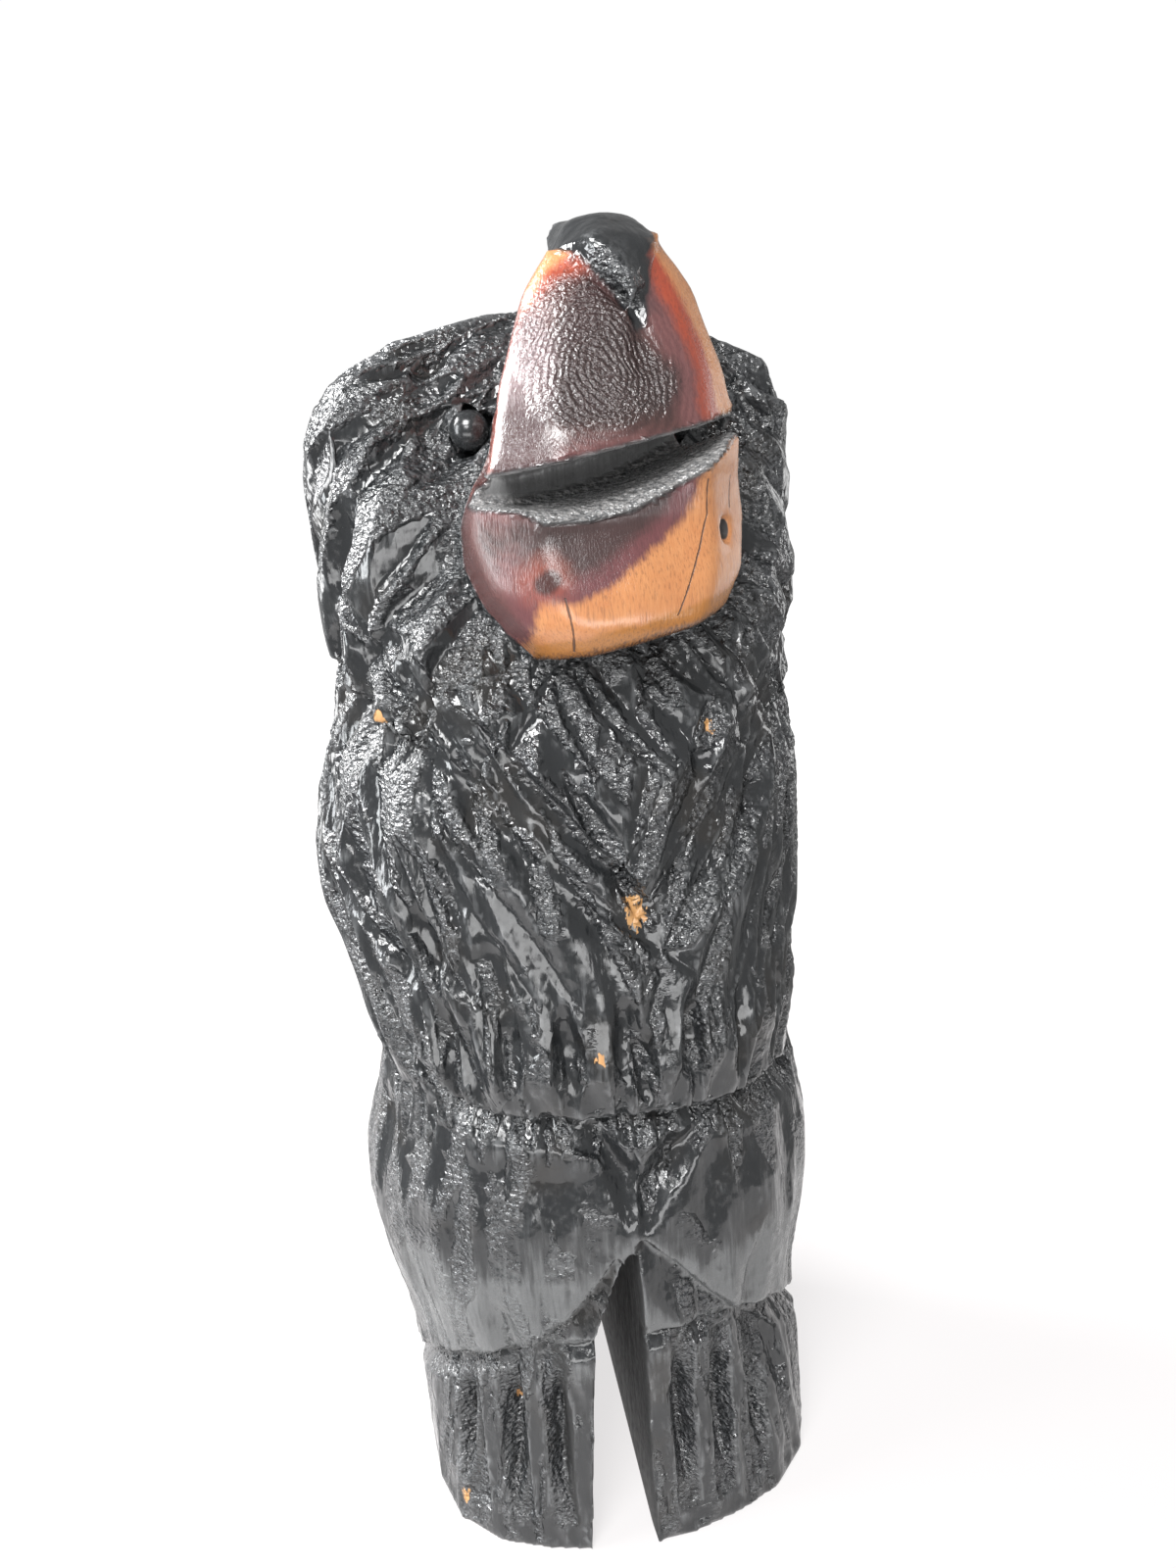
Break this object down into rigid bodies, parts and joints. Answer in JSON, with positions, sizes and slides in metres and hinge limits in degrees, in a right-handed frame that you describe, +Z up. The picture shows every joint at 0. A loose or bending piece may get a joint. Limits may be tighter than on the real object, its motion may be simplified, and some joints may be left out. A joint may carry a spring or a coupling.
{
  "type": "carved wooden bear",
  "caption": "Standing bear carved with a chainsaw from one short cedar log, black coat, bare wood muzzle with an open mouth, bead eyes, stands on its own feet",
  "frame": {"origin": "On the floor plane, under the middle of the carving's bounding box", "axes": "+Z up along the log, the bear's belly faces -Y, its right side is at -X"},
  "size_m": [0.2384, 0.2304, 0.605],
  "materials": {
    "carved_wood": "black gloss varnish, bare oiled wood on the muzzle",
    "eye_bead": "glossy black"
  },
  "bodies": {
    "root": {"bear": "carved_wood", "eye_right": "eye_bead", "eye_left": "eye_bead"}
  },
  "joints": []
}
